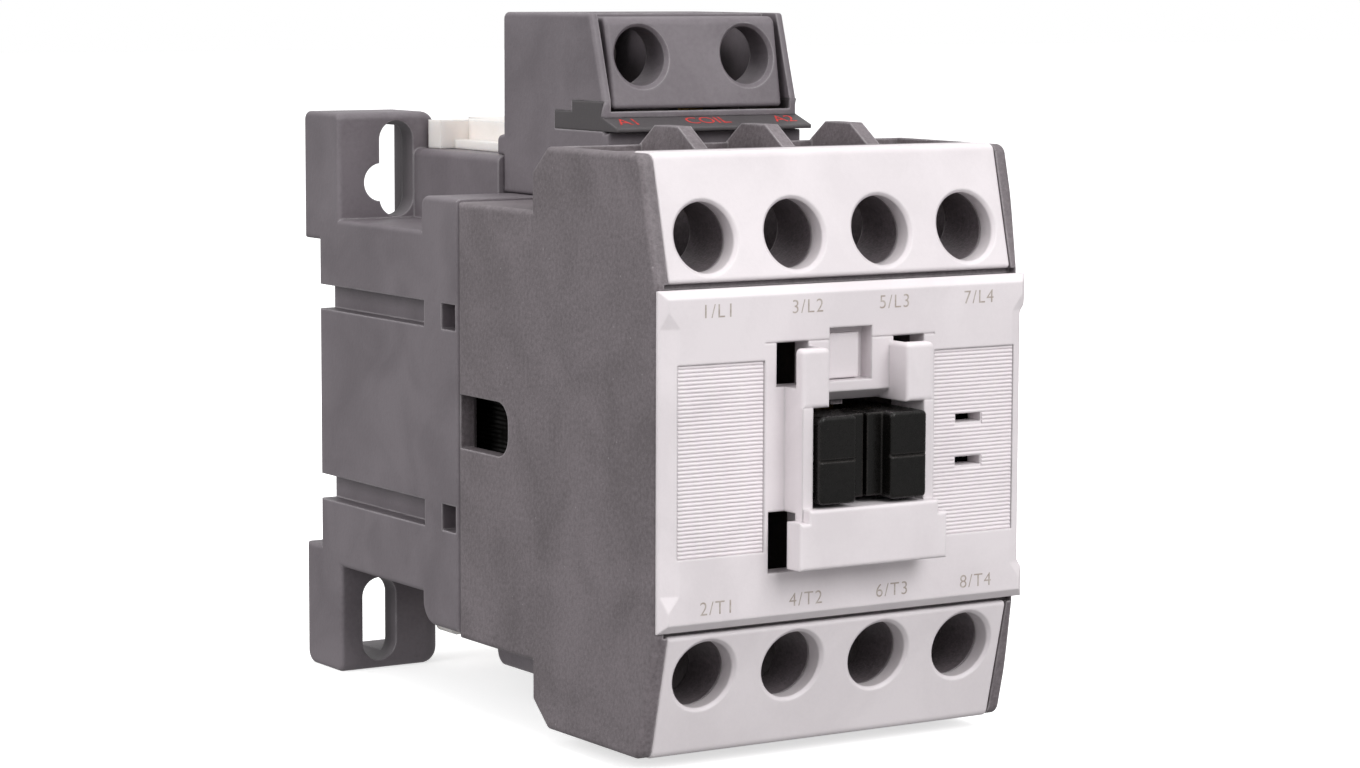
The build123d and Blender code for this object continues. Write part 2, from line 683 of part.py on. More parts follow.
def contact_carrier():
    """Black crossbar: armature cradle, four bridge posts and the two front tabs."""
    carrier = block((-19.9, 19.9), (-46.0, -50.8), (-4.6, 4.6))
    carrier += block((-8, 8), (YOKE_FRONT - FACE_GAP, -47), (-8.8, 8.8))
    for up in (-1, 1):
        lug_z = (up * (STACK_Z + 0.2), up * 8.8)
        carrier += block((-4, 4), (YOKE_INNER - 0.3, -45), lug_z)
        carrier += block((-4, 4), (YOKE_FRONT - FACE_GAP, -46.5), (up * 8, up * 14.2))
    for x in POLES:
        post = block((x - 4.0, x + 4.0), (-50, SPRING_FRONT - 1.5), (-3.2, 3.2))
        window = (BRIDGE_BACK + FACE_GAP, SPRING_FRONT)
        carrier += post - block((x - 2.7, x + 2.7), window, (-5, 5))
    for side in (-1, 1):
        root = SPRING_FRONT - 0.5
        carrier += block((side * 0.25, side * 6.0), (STEP_ROOT, TAB_STEP), (-4.4, 4.0))
        tab = block((side * 2.1, side * 6.5), (root, TAB_FACE), (-4.7, 4.1))
        tab = fillet(tab.edges().filter_by(Axis.Y), 0.5)
        tab = fillet(tab.edges().group_by(Axis.Y)[0], 0.3)
        carrier += tab
        carrier -= block((side * 2.0, side * 7.0), (TAB_FACE + 0.25, TAB_FACE - 1), (-0.42, -0.18))
    return carrier - Pos(0, YOKE_INNER - YOKE / 2, 0) * Cylinder(1.52, 30)


def armature_pin():
    return Pos(0, YOKE_INNER - YOKE / 2, 0) * Cylinder(1.5, 17.4)


# ---------------------------------------------------------------- terminals
def drive_recess(x, z, front, radius, depth=1.6):
    """Cross recess with a driver slot in a screw head."""
    arm = radius * 0.62
    across = block((x - arm, x + arm), (front - 1, front + depth), (z - 0.45, z + 0.45))
    upright = block((x - 0.45, x + 0.45), (front - 1, front + depth), (z - arm, z + arm))
    return across + upright


def terminal_screw(x, z, under, head_r, head_h, shank_r, tip):
    """Screw along Y: head in front of the clamp, shank through it to its tip."""
    front = under - head_h
    head = rod_y(x, z, head_r, under, front)
    head = fillet(head.edges().group_by(Axis.Y)[0], 0.5)
    shank = rod_y(x, z, shank_r, under, tip)
    shank = chamfer(shank.edges().group_by(Axis.Y)[-1], 0.4)
    return head + shank - drive_recess(x, z, front, head_r)


def terminal_clamp(x, z, half_x, half_z, back, thick, hole_r):
    """Square clamp plate with a hole for its screw and a ridge along each side."""
    plate = block((x - half_x, x + half_x), (back, back - thick), (z - half_z, z + half_z))
    plate = fillet(plate.edges().filter_by(Axis.Y), 0.6)
    return plate - rod_y(x, z, hole_r, -20, -80)


# ---------------------------------------------------------------- rail latch
def din_latch():
    """White sliding latch: two arms in the rear channel, the rail hook and two pull lugs."""
    latch = block((-8.8, 8.8), (-3.9, -6.1), (-24.0, 14.0))
    latch -= block((-4.0, 4.0), (-3, -7), (-12.0, 15.0))
    latch += block((-8.0, 8.0), (-0.5, -5), (-21.0, RECESS_BOTTOM - 0.2))
    latch += block((-8.0, 8.0), (-0.5, -2.4), (-20.0, RECESS_BOTTOM + 1.8))
    latch += block((-8.8, 8.8), (-5, -12.5), (-24.6, -21.6))
    for side in (-1, 1):
        lug = block((side * 5.6, side * 10.4), (-8.9, -12.5), (-28.0, -22.0))
        latch += fillet(lug.edges().filter_by(Axis.Y), 0.8)
    return latch


def latch_anchor():
    """White block above the waist that holds the top of the latch spring."""
    low = SADDLE_TOP + FACE_GAP
    anchor = block((-11.2, 11.2), (-9.0, -12.0), (low, 31.1))
    anchor += block((-7.6, 7.6), (-11, -26.2), (low, 31.1))
    anchor += block((-9.4, 9.4), (-11, -26.2), (low, 28.9))
    anchor += block((-3.2, 3.2), (-4.0, -10), (low, 31.1))
    anchor += block((-3.2, 3.2), (-4.0, -6.1), (12.0, low + 1))
    return anchor


# ---------------------------------------------------------------- write every sub-part
os.makedirs("parts", exist_ok=True)

save("base_housing", base_housing())
save("upper_housing", upper_housing())
save("terminal_cover_top", terminal_cover(1))
save("terminal_cover_bottom", terminal_cover(-1))
save("front_cover", front_cover())
save("marker_plate", marker_plate())
save("coil_terminal_housing", coil_terminal_housing())
save("coil_label_strip", coil_label_strip())
save("coil_terminal_cover", coil_terminal_cover())

save("fixed_core", fixed_core())
save("shading_rings", ring_frame(-1), ring_frame(1))
save("core_pad", block((-17, 17), (FLOOR_Y - 0.02, -10.18), (-6, 6)))
save("coil_bobbin", coil_bobbin())
save("coil_winding", coil_winding())
save("coil_terminals", coil_terminal(-1), coil_terminal(1))
save("armature", armature())
save("armature_pin", armature_pin())

save("line_contacts", *[contact_strip(x, 1) for x in POLES])
save("load_contacts", *[contact_strip(x, -1) for x in POLES])
save("fixed_contact_tips", *[fixed_tip(x, up) for up in (1, -1) for x in POLES])
save("contact_carrier", contact_carrier())
for number, x in enumerate(POLES, 1):
    save(f"moving_bridge_{number}", *moving_bridge(x))
    spring_length = BRIDGE_FRONT - SPRING_FRONT - 0.1
    spring = coil_spring(2.1, 0.3, spring_length, 5)
    save(f"contact_spring_{number}", Pos(x, SPRING_FRONT + 0.05, 0) * Rot(-90, 0, 0) * spring)

return_length = BOBBIN_FRONT - YOKE_FRONT - 0.1
for name, z in (("return_spring_upper", 11.7), ("return_spring_lower", -11.7)):
    spring = coil_spring(2.1, 0.3, return_length, 7)
    save(name, Pos(0, YOKE_FRONT, z) * Rot(-90, 0, 0) * spring)

terminals = [(x, SCREW_Z) for x in POLES] + [(x, -SCREW_Z) for x in POLES]
for number, (x, z) in enumerate(terminals, 1):
    clamp = terminal_clamp(x, z, 4.2, 3.9, CLAMP_BACK, CLAMP_T, SCREW_R + 0.06)
    save(f"terminal_clamp_{number}", clamp)
    screw = terminal_screw(x, z, CLAMP_FRONT - 0.02, SCREW_HEAD_R, 3.0, SCREW_R, STEP_Y - 0.5)
    save(f"terminal_screw_{number}", screw)

for number, side in ((1, -1), (2, 1)):
    x = side * COIL_SCREW_X
    save(f"coil_clamp_{number}", terminal_clamp(x, COIL_SCREW_Z, 3.6, 3.0, -34.6, 1.2, 1.81))
    save(f"coil_screw_{number}", terminal_screw(x, COIL_SCREW_Z, -35.82, 2.8, 2.5, 1.75, -30.0))

save("din_latch", din_latch())
save("latch_anchor", latch_anchor())
latch_spring = coil_spring(0.9, 0.28, 23.8, 22)
save("latch_spring", Pos(0, -5.0, -11.9) * latch_spring)
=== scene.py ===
# %% [markdown]
# # A multi-pole contactor for a 35 mm rail
#
# A contactor is a magnet-driven power switch. Its dark housing holds the magnet and the
# contacts, its pale covers guide a screwdriver to the terminals, and two black tabs in the
# middle of the front show whether the contacts are closed.
#
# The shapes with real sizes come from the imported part. This lesson gives them their plastics
# and metals, adds the fine ribs and the printing, and sets up the light and the camera.

import math

import bpy
from mathutils import Matrix, Vector


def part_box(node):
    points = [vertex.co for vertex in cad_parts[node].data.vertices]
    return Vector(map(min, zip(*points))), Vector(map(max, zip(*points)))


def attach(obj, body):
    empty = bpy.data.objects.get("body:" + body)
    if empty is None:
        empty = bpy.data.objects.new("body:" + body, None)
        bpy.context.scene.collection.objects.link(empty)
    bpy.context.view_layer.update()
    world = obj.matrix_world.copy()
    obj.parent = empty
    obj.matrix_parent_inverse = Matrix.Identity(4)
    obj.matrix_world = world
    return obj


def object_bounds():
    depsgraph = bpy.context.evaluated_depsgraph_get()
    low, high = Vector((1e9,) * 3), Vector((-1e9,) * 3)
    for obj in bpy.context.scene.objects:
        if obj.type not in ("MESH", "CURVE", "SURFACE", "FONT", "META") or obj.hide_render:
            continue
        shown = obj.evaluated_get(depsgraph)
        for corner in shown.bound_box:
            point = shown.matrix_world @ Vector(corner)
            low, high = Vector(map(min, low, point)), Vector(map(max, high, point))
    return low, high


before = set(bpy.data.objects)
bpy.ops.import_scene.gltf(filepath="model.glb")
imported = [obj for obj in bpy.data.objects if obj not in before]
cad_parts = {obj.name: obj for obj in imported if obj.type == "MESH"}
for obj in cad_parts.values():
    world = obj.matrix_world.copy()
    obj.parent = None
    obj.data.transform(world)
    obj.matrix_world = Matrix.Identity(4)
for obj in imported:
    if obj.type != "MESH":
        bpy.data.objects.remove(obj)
CAD_LOW, CAD_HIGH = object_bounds()
MM = 0.001
print("size in mm", [round(v / MM, 2) for v in CAD_HIGH - CAD_LOW])

# %% [markdown]
# ## Two small helpers for every material
#
# A paint chip is written as a hex value, which is sRGB. Blender's shaders want linear light,
# so one function does the conversion for every colour. The second helper adds one node,
# sets its options and its sockets, and links it, so a material reads as a list of steps.


# %% Colour and node helpers
def linear(hex_colour):
    """Linear RGBA of an sRGB hex colour such as #C8C8C8."""
    channels = [int(hex_colour[i:i + 2], 16) / 255 for i in (1, 3, 5)]
    return [c / 12.92 if c <= 0.04045 else ((c + 0.055) / 1.055) ** 2.4 for c in channels] + [1.0]


def add(tree, kind, sockets=None, **settings):
    """Adds a node; sockets maps an input's name or number to a value or to another output."""
    node = tree.nodes.new(kind)
    for name, value in settings.items():
        setattr(node, name, value)
    for name, value in (sockets or {}).items():
        if isinstance(value, bpy.types.NodeSocket):
            tree.links.new(value, node.inputs[name])
        else:
            node.inputs[name].default_value = value
    return node


print("mid grey", [round(v, 3) for v in linear("#808080")])

# %% [markdown]
# ## Moulded plastic
#
# Nearly everything on the outside is injection-moulded plastic. Three things make it look
# real: the fine grain that the mould's spark-eroded wall leaves, faint clouds where the melt
# flowed, and edges that are a little lighter: partly rubbing wear, partly a painted highlight.
#
# The grain could be modelled, but at a third of a millimetre it belongs in a bump. The lighter
# edge, rubbing wear and painted highlight together, is found by comparing the true normal with
# the one a Bevel node rounds off: they differ only near an edge. All patterns use Object
# coordinates, so they are measured in metres.


# %% A recipe for moulded plastic
RUB_AND_HIGHLIGHT_PATCH = 2.2 * MM
SPECK_SPACING = 2.4 * MM
CLOUD_SIZE = 9.0 * MM
GRAIN_HEIGHT = 0.25
WAX_REACH = 2.0 * MM
GLOSS_SPREAD = 0.06


def rubbed_and_highlit_edges(tree, place, paint, wear_and_highlight_tone, edge_mm, amount):
    """Mixes a lighter tone into edges, partly rubbing wear and partly a painted highlight; returns the
    new colour and the rounded normal.
    """
    rounded = add(tree, "ShaderNodeBevel", {"Radius": edge_mm * MM}, samples=6).outputs["Normal"]
    true = add(tree, "ShaderNodeNewGeometry").outputs["Normal"]
    agree = add(tree, "ShaderNodeVectorMath", {0: rounded, 1: true}, operation="DOT_PRODUCT")
    # This mask paints the edges lighter: partly rubbing wear, partly a painted highlight.
    worn_and_lit = add(tree, "ShaderNodeMapRange", {"Value": agree.outputs["Value"], "From Min": 0.995,
                                            "From Max": 0.86})
    patchy = add(tree, "ShaderNodeTexNoise", {"Vector": place, "Scale": 1 / RUB_AND_HIGHLIGHT_PATCH, "Detail": 3.0})
    patches = add(tree, "ShaderNodeMapRange", {"Value": patchy.outputs["Fac"], "From Min": 0.3,
                                               "From Max": 0.65, "To Min": amount * 0.4,
                                               "To Max": amount})
    rub_and_highlight = add(tree, "ShaderNodeMath", {0: worn_and_lit.outputs["Result"], 1: patches.outputs["Result"]},
              operation="MULTIPLY")
    edged = add(tree, "ShaderNodeMix", {0: rub_and_highlight.outputs["Value"], 6: paint, 7: linear(wear_and_highlight_tone)},
                data_type="RGBA")
    return edged.outputs[2], rounded


def specks(tree, place, paint, colour, amount):
    """Scatters small pale specks, as glass fibre and dust leave them."""
    dots = add(tree, "ShaderNodeTexVoronoi", {"Vector": place, "Scale": 1 / SPECK_SPACING})
    near = add(tree, "ShaderNodeMapRange", {"Value": dots.outputs["Distance"], "From Min": 0.055,
                                            "From Max": 0.03, "To Max": amount})
    return add(tree, "ShaderNodeMix", {0: near.outputs["Result"], 6: paint, 7: linear(colour)},
               data_type="RGBA").outputs[2]


def moulded_plastic(name, base, flow, wear_and_highlight_tone, grain_mm, grain_depth, roughness, ior=1.52,
                    mottle_mm=0.5, mottle=0.3, edge_mm=0.35, edge_amount=0.5, speck_amount=0.0,
                    waxy=0.0):
    """Plastic with grain of grain_mm, clouds, mottles of mottle_mm and edges of edge_mm lightened by
    rubbing wear and a painted highlight.
    """
    material = bpy.data.materials.new(name)
    material.use_nodes = True
    tree = material.node_tree
    shader = tree.nodes["Principled BSDF"]
    place = add(tree, "ShaderNodeTexCoord").outputs["Object"]

    clouds = add(tree, "ShaderNodeTexNoise", {"Vector": place, "Scale": 1 / CLOUD_SIZE,
                                              "Detail": 3.0, "Distortion": 0.6})
    mottles = add(tree, "ShaderNodeTexNoise", {"Vector": place, "Scale": 1 / (mottle_mm * MM),
                                               "Detail": 3.0, "Roughness": 0.7})
    both = add(tree, "ShaderNodeMix", {0: mottle, 2: clouds.outputs["Fac"],
                                       3: mottles.outputs["Fac"]}, data_type="FLOAT")
    tone = add(tree, "ShaderNodeValToRGB", {"Fac": both.outputs[0]})
    tone.color_ramp.elements[0].position = 0.38
    tone.color_ramp.elements[0].color = linear(flow)
    tone.color_ramp.elements[1].position = 0.62
    tone.color_ramp.elements[1].color = linear(base)
    paint = tone.outputs["Color"]

    grain = add(tree, "ShaderNodeTexNoise", {"Vector": place, "Scale": 1 / (grain_mm * MM),
                                             "Detail": 2.0, "Roughness": 0.6})
    bump = add(tree, "ShaderNodeBump", {"Height": grain.outputs["Fac"], "Strength": grain_depth,
                                        "Distance": grain_mm * MM * GRAIN_HEIGHT})
    # Edges get a lighter tone here: partly rubbing wear, partly a painted highlight.
    if edge_amount:
        paint, rounded = rubbed_and_highlit_edges(tree, place, paint, wear_and_highlight_tone, edge_mm, edge_amount)
        tree.links.new(rounded, bump.inputs["Normal"])
    if speck_amount:
        paint = specks(tree, place, paint, wear_and_highlight_tone, speck_amount)
    tree.links.new(paint, shader.inputs["Base Color"])
    tree.links.new(bump.outputs["Normal"], shader.inputs["Normal"])

    gloss = add(tree, "ShaderNodeMapRange", {"Value": mottles.outputs["Fac"], "From Min": 0.3,
                                             "From Max": 0.7, "To Min": roughness - GLOSS_SPREAD,
                                             "To Max": roughness + GLOSS_SPREAD})
    tree.links.new(gloss.outputs["Result"], shader.inputs["Roughness"])
    shader.inputs["IOR"].default_value = ior
    if waxy:
        shader.inputs["Subsurface Weight"].default_value = waxy
        shader.inputs["Subsurface Radius"].default_value = (1.0, 0.9, 0.8)
        shader.inputs["Subsurface Scale"].default_value = WAX_REACH
    return material


print("plastic recipe ready")

# %% [markdown]
# ## The plastics of this contactor
#
# The front housing carries the arcs, so it is glass-filled polyamide: dark grey, coarse and
# dull, with a mottled skin and lighter edges, partly rubbing wear and partly a painted highlight.
# The base and the coil tower are the same plastic from a smoother mould, so they read a little
# bluer. The covers are off-white polycarbonate, almost smooth. The moving carrier is black and
# glossier, because it slides. The latch is white acetal, a slippery plastic that lets a little
# light in. The ribs use a lighter copy of the covers' plastic, painted light that lifts the
# ribbed panels, and they are too fine to carry a lighter edge of their own.

# %% Make the plastics
# The fourth colour of each plastic is its lighter edge tone, partly rubbing wear and partly a painted
# highlight; the specks use it too.
housing_plastic = moulded_plastic(
    "glass_filled_polyamide_grey", "#776F73", "#5C5558", "#B4AEB1", grain_mm=0.28,
    grain_depth=0.60, roughness=0.56, mottle_mm=0.45, mottle=0.62, edge_amount=0.80,
    speck_amount=0.30)
base_plastic = moulded_plastic(
    "smooth_polyamide_grey", "#736C71", "#645D62", "#B0ABAE", grain_mm=0.45, grain_depth=0.22,
    roughness=0.50, mottle=0.35, edge_amount=0.75)
cover_plastic = moulded_plastic(
    "polycarbonate_off_white", "#DED7DA", "#D6CFD2", "#EDE9EA", grain_mm=0.35, grain_depth=0.10,
    roughness=0.42, ior=1.50, edge_amount=0.35, mottle=0.20)
# The ribs get a lighter copy of the cover plastic: painted light that lifts the ribbed panels.
rib_plastic_painted_lighter = moulded_plastic(
    "polycarbonate_off_white_ribs", "#E6DFE2", "#DED7DA", "#EDE9EA", grain_mm=0.35,
    grain_depth=0.05, roughness=0.42, ior=1.50, edge_amount=0.0, mottle=0.20)
carrier_plastic = moulded_plastic(
    "phenolic_black", "#100E0D", "#0B0A09", "#4A4543", grain_mm=0.30, grain_depth=0.12,
    roughness=0.28, ior=1.38, edge_amount=0.5, speck_amount=0.25)
latch_plastic = moulded_plastic(
    "acetal_white", "#F4EFEC", "#ECE6E2", "#FAF8F6", grain_mm=0.40, grain_depth=0.10,
    roughness=0.38, ior=1.48, edge_amount=0.3, mottle=0.20, waxy=0.35)
label_plastic = moulded_plastic(
    "label_strip_grey", "#4A4648", "#413D3F", "#7A7577", grain_mm=0.30, grain_depth=0.15,
    roughness=0.50, edge_amount=0.4)
bobbin_plastic = moulded_plastic(
    "bobbin_polyamide_black", "#2E2B2B", "#242121", "#5A5656", grain_mm=0.35, grain_depth=0.15,
    roughness=0.45)
pad_rubber = moulded_plastic(
    "nitrile_rubber_pad", "#1C1B1B", "#151414", "#353333", grain_mm=0.30, grain_depth=0.30,
    roughness=0.80, edge_amount=0.2)
PLASTICS = [m for m in bpy.data.materials if m.use_nodes]
print("plastics", len(PLASTICS))

# %% [markdown]
# ## Metals
#
# Screws and clamps are zinc-plated steel: a slightly cloudy plate with fine turning marks.
# The strips and bridges are rolled brass, with straight marks along the strip. The contact
# tips are silver alloy, dull from the first sparks. The cores are stacks of half-millimetre
# steel sheets, so dark joints run across them. The winding shows its wire in rows.
#
# A metal needs only its own reflection colour, a metallic value of one and the marks of how
# it was made. One function stretches a noise along the direction of those marks.


# %% A recipe for worked metal
STAIN_SIZE = 3.5 * MM
MARK_DEPTH = 0.03 * MM
METAL_GLOSS_SPREAD = 0.08
WAVE_TURN = 20  # radians that a band texture turns for each unit of its scale


def worked_metal(name, base, tarnish, stretch, mark_mm, roughness, depth=0.25, band_mm=0.0,
                 band_axis="Z"):
    """Metal with marks mark_mm wide, stretched along axes; band_mm adds joints or wire rows."""
    material = bpy.data.materials.new(name)
    material.use_nodes = True
    tree = material.node_tree
    shader = tree.nodes["Principled BSDF"]
    place = add(tree, "ShaderNodeTexCoord").outputs["Object"]
    drawn = add(tree, "ShaderNodeMapping", {"Vector": place, "Scale": stretch})
    marks = add(tree, "ShaderNodeTexNoise", {"Vector": drawn.outputs["Vector"],
                                             "Scale": 1 / (mark_mm * MM), "Detail": 3.0})
    stains = add(tree, "ShaderNodeTexNoise", {"Vector": place, "Scale": 1 / STAIN_SIZE,
                                              "Detail": 4.0})
    tone = add(tree, "ShaderNodeValToRGB", {"Fac": stains.outputs["Fac"]})
    tone.color_ramp.elements[0].position = 0.38
    tone.color_ramp.elements[0].color = linear(tarnish)
    tone.color_ramp.elements[1].position = 0.60
    tone.color_ramp.elements[1].color = linear(base)
    paint = tone.outputs["Color"]
    height = marks.outputs["Fac"]
    if band_mm:
        scale = math.tau / (WAVE_TURN * band_mm * MM)
        rows = add(tree, "ShaderNodeTexWave", {"Vector": place, "Scale": scale, "Distortion": 0.0},
                   wave_type="BANDS", bands_direction=band_axis)
        joint = add(tree, "ShaderNodeMix", {0: rows.outputs["Fac"], 6: linear(tarnish), 7: paint},
                    data_type="RGBA")
        paint = joint.outputs[2]
        height = rows.outputs["Fac"]
    tree.links.new(paint, shader.inputs["Base Color"])
    gloss = add(tree, "ShaderNodeMapRange", {"Value": marks.outputs["Fac"], "From Min": 0.3,
                                             "From Max": 0.7, "To Min": roughness - METAL_GLOSS_SPREAD,
                                             "To Max": roughness + METAL_GLOSS_SPREAD})
    tree.links.new(gloss.outputs["Result"], shader.inputs["Roughness"])
    bump = add(tree, "ShaderNodeBump", {"Height": height, "Strength": depth, "Distance": MARK_DEPTH})
    tree.links.new(bump.outputs["Normal"], shader.inputs["Normal"])
    shader.inputs["Metallic"].default_value = 1.0
    return material


zinc_steel = worked_metal("zinc_plated_steel", "#B9B7B2", "#8F8C88", (1, 1, 1), 0.35, 0.34)
clamp_steel = worked_metal("pressed_zinc_steel", "#ADABA6", "#86837E", (1, 1, 0.15), 0.25, 0.38)
brass = worked_metal("rolled_brass", "#C8A662", "#9C7C44", (1, 1, 0.10), 0.20, 0.32)
silver = worked_metal("silver_alloy", "#CFCDC8", "#9A9691", (1, 1, 1), 0.30, 0.36)
core_steel = worked_metal("stacked_electrical_steel", "#8E8D8C", "#3B3937", (0.1, 1, 1), 0.25, 0.42,
                          band_mm=0.5, band_axis="Z")
copper_ring = worked_metal("shading_ring_copper", "#C07A52", "#8A5236", (1, 1, 1), 0.30, 0.30)
winding_wire = worked_metal("enamelled_copper_wire", "#9A5428", "#5A2C12", (1, 1, 1), 0.30, 0.28,
                            band_mm=0.25, band_axis="Y")
spring_wire = worked_metal("drawn_spring_steel", "#9D9C9B", "#6F6D6B", (1, 1, 1), 0.15, 0.28)
print("metals", [m.name for m in bpy.data.materials if m not in PLASTICS])

# %% [markdown]
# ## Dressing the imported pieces
#
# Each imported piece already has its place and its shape. It only needs its finish, which goes
# into the material slots it came with. Going by the name of the piece keeps one list that
# says what every part of a contactor is made of.


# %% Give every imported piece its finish
def finish_for(node):
    """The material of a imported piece, by what the piece is."""
    if node.startswith(("terminal_screw", "coil_screw", "armature_pin")):
        return zinc_steel
    if node.startswith(("terminal_clamp", "coil_clamp")):
        return clamp_steel
    if node.startswith(("moving_bridge", "line_contacts", "load_contacts")) or node == "coil_terminals":
        return brass
    if "spring" in node:
        return spring_wire
    named = {
        "base_housing": base_plastic,
        "coil_terminal_housing": base_plastic,
        "coil_terminal_cover": base_plastic,
        "upper_housing": housing_plastic,
        "terminal_cover_top": cover_plastic,
        "terminal_cover_bottom": cover_plastic,
        "front_cover": cover_plastic,
        "marker_plate": cover_plastic,
        "coil_label_strip": label_plastic,
        "contact_carrier": carrier_plastic,
        "din_latch": latch_plastic,
        "latch_anchor": latch_plastic,
        "coil_bobbin": bobbin_plastic,
        "coil_winding": winding_wire,
        "core_pad": pad_rubber,
        "fixed_core": core_steel,
        "armature": core_steel,
        "shading_rings": copper_ring,
        "fixed_contact_tips": silver,
    }
    return named[node]


for node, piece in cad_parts.items():
    for material_slot in piece.material_slots:
        material_slot.material = finish_for(node)
print("dressed", len(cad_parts), "pieces")

# %% [markdown]
# ## Where the front is
#
# The ribs and the printing sit on the pale front plate. Its place comes from the packed
# cover's own box: the back of the box is the cover's inner end, and the plate's face lies
# a known distance in front of it.

# %% Measure the front plate
cover_low, cover_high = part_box("front_cover")
SPIGOT_TO_FACE = 2.46 * MM
PANEL_RECESS = 0.30 * MM
plate_face = cover_high.y - SPIGOT_TO_FACE
panel_floor = plate_face + PANEL_RECESS
half_width = (cover_high.x - cover_low.x) / 2
print("plate face at", round(plate_face / MM, 2), "mm, half width", round(half_width / MM, 2), "mm")

# %% [markdown]
# ## Fine ribs on the two panels
#
# Beside the guard lie two panels with about fifty fine ribs each. They hide scratches and
# tell the finger where to press when the cover is pulled off. They could be a bump, but
# they catch light as real ridges, so they are real.
#
# Nearly fifty equal things in a row are what Geometry Nodes are for: a line of points, one
# rounded rib per point, and a gap in the rows where each slot lies. The sizes are named
# inputs, so the same tree makes every stretch of ribs.


# %% Build the rib tree
RIB_SIDES = 10


def rib_tree(material):
    """Rows of rounded ribs along X, stacked along Z, with two gaps."""
    tree = bpy.data.node_groups.new("panel_ribs", "GeometryNodeTree")
    tree.interface.new_socket("Geometry", in_out="OUTPUT", socket_type="NodeSocketGeometry")
    for name, kind in (("Rib Count", "NodeSocketInt"), ("First Rib", "NodeSocketVector"),
                       ("Pitch", "NodeSocketFloat"), ("Rib Length", "NodeSocketFloat"),
                       ("Rib Radius", "NodeSocketFloat"), ("Upper Gap", "NodeSocketFloat"),
                       ("Lower Gap", "NodeSocketFloat"), ("Gap Half Height", "NodeSocketFloat")):
        tree.interface.new_socket(name, in_out="INPUT", socket_type=kind)
    given = tree.nodes.new("NodeGroupInput").outputs
    step = add(tree, "ShaderNodeCombineXYZ", {"Z": given["Pitch"]})
    rows = add(tree, "GeometryNodeMeshLine", {"Count": given["Rib Count"],
                                              "Start Location": given["First Rib"],
                                              "Offset": step.outputs["Vector"]}, mode="OFFSET")
    height = add(tree, "ShaderNodeSeparateXYZ",
                 {"Vector": add(tree, "GeometryNodeInputPosition").outputs["Position"]})
    hits = []
    for gap in ("Upper Gap", "Lower Gap"):
        away = add(tree, "ShaderNodeMath", {0: height.outputs["Z"], 1: given[gap]},
                   operation="SUBTRACT")
        size = add(tree, "ShaderNodeMath", {0: away.outputs["Value"]}, operation="ABSOLUTE")
        hit = add(tree, "ShaderNodeMath", {0: size.outputs["Value"], 1: given["Gap Half Height"]},
                  operation="LESS_THAN")
        hits.append(hit.outputs["Value"])
    either = add(tree, "ShaderNodeMath", {0: hits[0], 1: hits[1]}, operation="MAXIMUM")
    kept = add(tree, "GeometryNodeDeleteGeometry", {"Geometry": rows.outputs["Mesh"],
                                                    "Selection": either.outputs["Value"]})
    end = add(tree, "ShaderNodeCombineXYZ", {"X": given["Rib Length"]})
    spine = add(tree, "GeometryNodeCurvePrimitiveLine", {"End": end.outputs["Vector"]})
    ring = add(tree, "GeometryNodeCurvePrimitiveCircle", {"Resolution": RIB_SIDES,
                                                          "Radius": given["Rib Radius"]})
    rib = add(tree, "GeometryNodeCurveToMesh", {"Curve": spine.outputs["Curve"],
                                                "Profile Curve": ring.outputs["Curve"],
                                                "Fill Caps": True})
    placed = add(tree, "GeometryNodeInstanceOnPoints", {"Points": kept.outputs["Geometry"],
                                                        "Instance": rib.outputs["Mesh"]})
    real = add(tree, "GeometryNodeRealizeInstances", {"Geometry": placed.outputs["Instances"]})
    done = add(tree, "GeometryNodeSetMaterial", {"Geometry": real.outputs["Geometry"],
                                                 "Material": material})
    add(tree, "NodeGroupOutput", {"Geometry": done.outputs["Geometry"]})
    return tree


def grown(name, tree, values):
    """A plain mesh object grown by a Geometry Nodes tree with the named input values."""
    seedling = bpy.data.objects.new(name, bpy.data.meshes.new(name))
    bpy.context.scene.collection.objects.link(seedling)
    growth = seedling.modifiers.new("growth", "NODES")
    growth.node_group = tree
    for item in tree.interface.items_tree:
        if item.item_type == "SOCKET" and item.in_out == "INPUT":
            growth[item.identifier] = values[item.name]
    bpy.context.view_layer.update()
    seen = seedling.evaluated_get(bpy.context.evaluated_depsgraph_get())
    mesh = bpy.data.meshes.new_from_object(seen)
    seedling.modifiers.remove(growth)
    seedling.data = mesh
    mesh.name = name
    return seedling


print("rib tree helper ready")

# %% [markdown]
# Each panel runs from just beside the guard to the plate's side chamfer. The right-hand panel
# is interrupted by two small slots, so it is grown in three stretches: one each side of the
# slots with every rib, and one across them that leaves the slot rows out. Where nothing is to
# be left out, the gap is put a metre away, far from any rib.

# %% Grow the ribs
RIB_PITCH = 0.40 * MM
RIB_RADIUS = 0.19 * MM
RIB_SINK = 0.04 * MM
RIB_ROWS = 48
PANEL_NEAR = 10.5 * MM
PANEL_FAR = 20.5 * MM
SLOT_LEFT = 13.2 * MM
SLOT_RIGHT = 16.7 * MM
SLOT_UPPER = 2.35 * MM
SLOT_LOWER = -2.1 * MM
SLOT_CLEAR = 0.58 * MM
NO_GAP = 1.0

